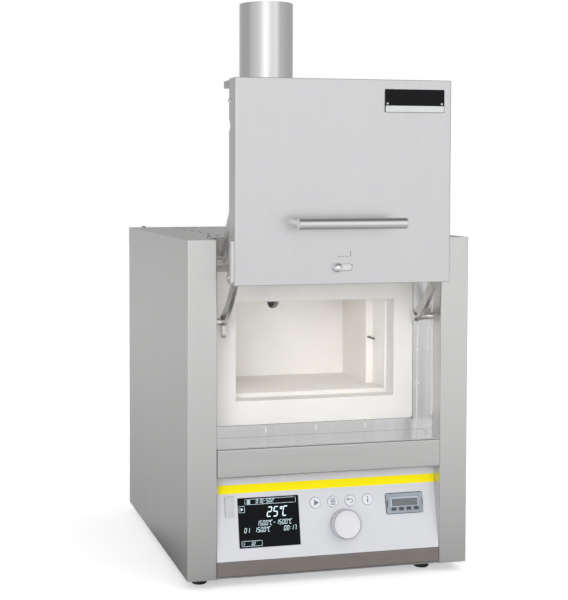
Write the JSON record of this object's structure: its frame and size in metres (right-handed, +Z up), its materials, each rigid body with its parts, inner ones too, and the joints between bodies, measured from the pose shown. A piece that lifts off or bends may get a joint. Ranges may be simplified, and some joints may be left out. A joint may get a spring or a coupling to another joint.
{
  "type": "laboratory ashing furnace",
  "caption": "Bench ashing furnace with a lift door on parallel arms, a fibre-lined chamber heated from both sides, a sloping control panel and an upright exhaust tube.",
  "frame": {"origin": "centre of the bounding box's base, where the feet stand, with the door open", "axes": "+Z up, +X to the object's right as its front is seen, +Y to its back"},
  "size_m": [0.385, 0.5064, 0.787],
  "materials": {
    "brushed_steel_casing": "satin",
    "galvanised_steel": "matte",
    "black_rubber": "matte",
    "taupe_paint": "satin",
    "polished_steel": "polished",
    "fibre_board": "matte",
    "kiln_ceramic": "matte",
    "dark_pins": "satin",
    "brushed_steel_tube": "satin",
    "white_film": "satin",
    "yellow_film": "satin",
    "black_glass": "gloss",
    "grey_buttons": "satin",
    "white_dial": "satin",
    "blue_grey_plastic": "satin",
    "limiter_keys": "satin",
    "flap_plastic": "satin",
    "socket_shell": "satin",
    "circuit_board": "satin",
    "heat_sink": "satin",
    "black_plastic": "satin",
    "rocker_plastic": "gloss",
    "brushed_steel_door": "satin",
    "handle_steel": "satin",
    "black_plate": "satin",
    "bright_screws": "polished",
    "chrome_knob": "polished",
    "arm_steel": "satin"
  },
  "bodies": {
    "casing": {"base_tray": "galvanised_steel", "casing_screws": "bright_screws", "control_board": "circuit_board", "control_panel": "white_film", "display_unit": "black_glass", "exhaust_tube": "brushed_steel_tube", "fascia_frame": "polished_steel", "feet": "black_rubber", "front_trim": "taupe_paint", "hearth_plate": "kiln_ceramic", "heating_plates": "kiln_ceramic", "insulation_base": "fibre_board", "insulation_collar": "fibre_board", "insulation_rear": "fibre_board", "insulation_roof": "fibre_board", "insulation_sides": "fibre_board", "limit_controller": "blue_grey_plastic", "lining_left": "polished_steel", "lining_right": "polished_steel", "lining_shelf": "polished_steel", "linkage_studs": "bright_screws", "mains_inlet": "black_plastic", "panel_stripe": "yellow_film", "plate_pins": "dark_pins", "power_relay": "heat_sink", "rear_panel": "galvanised_steel", "side_panel_left": "brushed_steel_casing", "side_panel_right": "brushed_steel_casing", "sill_panel": "brushed_steel_casing", "thermocouples": "dark_pins", "top_cover": "brushed_steel_casing", "tube_collar": "brushed_steel_tube", "usb_socket": "socket_shell"},
    "lower_arms": {"lower_arms": "arm_steel"},
    "upper_arms": {"upper_arms": "arm_steel"},
    "door": {"door_panel": "brushed_steel_door", "door_tray": "polished_steel", "door_insulation": "fibre_board", "door_top_rail": "polished_steel", "handle_bar": "handle_steel", "handle_posts": "handle_steel", "hinge_plates": "galvanised_steel", "flange_plates": "polished_steel", "name_plate": "black_plate", "door_screws": "bright_screws"},
    "air_slide": {"air_slider": "handle_steel", "air_knob": "chrome_knob"},
    "button_start": {"button_start": "grey_buttons"},
    "button_menu": {"button_menu": "grey_buttons"},
    "button_back": {"button_back": "grey_buttons"},
    "button_info": {"button_info": "grey_buttons"},
    "dial_stem": {"dial_stem": "dark_pins"},
    "dial": {"dial": "white_dial"},
    "limiter_button_1": {"limiter_button_1": "limiter_keys"},
    "limiter_button_2": {"limiter_button_2": "limiter_keys"},
    "limiter_button_3": {"limiter_button_3": "limiter_keys"},
    "limiter_button_4": {"limiter_button_4": "limiter_keys"},
    "usb_cover": {"usb_cover": "flap_plastic"},
    "mains_switch": {"mains_switch": "rocker_plastic"}
  },
  "joints": [
    {"name": "door_lift", "type": "hinge", "parent": "casing", "child": "lower_arms", "pos_m": [0, -0.1256, 0.341], "axis": [1, 0, 0], "range_deg": [0, 123.5]},
    {"name": "upper_arm_swing", "type": "hinge", "parent": "casing", "child": "upper_arms", "pos_m": [0, -0.1256, 0.4231], "axis": [1, 0, 0], "range_deg": [0, 123.5]},
    {"name": "door_pivot", "type": "hinge", "parent": "lower_arms", "child": "door", "pos_m": [0, -0.2068, 0.43288], "axis": [1, 0, 0], "range_deg": [-123.5, 0]},
    {"name": "air_slide", "type": "slide", "parent": "door", "child": "air_slide", "axis": [1, 0, 0], "range_m": [0, 0.017]},
    {"name": "button_start_press", "type": "slide", "parent": "casing", "child": "button_start", "axis": [0, 0.9804, -0.1971], "range_m": [0, 0.001], "stiffness_N_per_m": 400, "springref_m": -0.0005},
    {"name": "button_menu_press", "type": "slide", "parent": "casing", "child": "button_menu", "axis": [0, 0.9804, -0.1971], "range_m": [0, 0.001], "stiffness_N_per_m": 400, "springref_m": -0.0005},
    {"name": "button_back_press", "type": "slide", "parent": "casing", "child": "button_back", "axis": [0, 0.9804, -0.1971], "range_m": [0, 0.001], "stiffness_N_per_m": 400, "springref_m": -0.0005},
    {"name": "button_info_press", "type": "slide", "parent": "casing", "child": "button_info", "axis": [0, 0.9804, -0.1971], "range_m": [0, 0.001], "stiffness_N_per_m": 400, "springref_m": -0.0005},
    {"name": "limiter_button_1_press", "type": "slide", "parent": "casing", "child": "limiter_button_1", "axis": [0, 0.9804, -0.1971], "range_m": [0, 0.0005], "stiffness_N_per_m": 400, "springref_m": -0.0005},
    {"name": "limiter_button_2_press", "type": "slide", "parent": "casing", "child": "limiter_button_2", "axis": [0, 0.9804, -0.1971], "range_m": [0, 0.0005], "stiffness_N_per_m": 400, "springref_m": -0.0005},
    {"name": "limiter_button_3_press", "type": "slide", "parent": "casing", "child": "limiter_button_3", "axis": [0, 0.9804, -0.1971], "range_m": [0, 0.0005], "stiffness_N_per_m": 400, "springref_m": -0.0005},
    {"name": "limiter_button_4_press", "type": "slide", "parent": "casing", "child": "limiter_button_4", "axis": [0, 0.9804, -0.1971], "range_m": [0, 0.0005], "stiffness_N_per_m": 400, "springref_m": -0.0005},
    {"name": "dial_press", "type": "slide", "parent": "casing", "child": "dial_stem", "axis": [0, 0.9804, -0.1971], "range_m": [0, 0.001], "stiffness_N_per_m": 1500, "springref_m": -0.001},
    {"name": "dial_turn", "type": "hinge", "parent": "dial_stem", "child": "dial", "pos_m": [0.0217, -0.15871, 0.07175], "axis": [0, -0.9804, 0.1971], "continuous": true},
    {"name": "usb_cover_hinge", "type": "hinge", "parent": "casing", "child": "usb_cover", "pos_m": [-0.1392, -0.15347, 0.10211], "axis": [0, -0.1971, -0.9804], "range_deg": [0, 100]},
    {"name": "mains_rocker", "type": "hinge", "parent": "casing", "child": "mains_switch", "pos_m": [0.118, 0.2436, 0.079], "axis": [1, 0, 0], "range_deg": [0, 12]}
  ],
  "couplings": [
    {"joint": "upper_arm_swing", "follows": "door_lift", "ratio": 1},
    {"joint": "door_pivot", "follows": "door_lift", "ratio": -1}
  ]
}
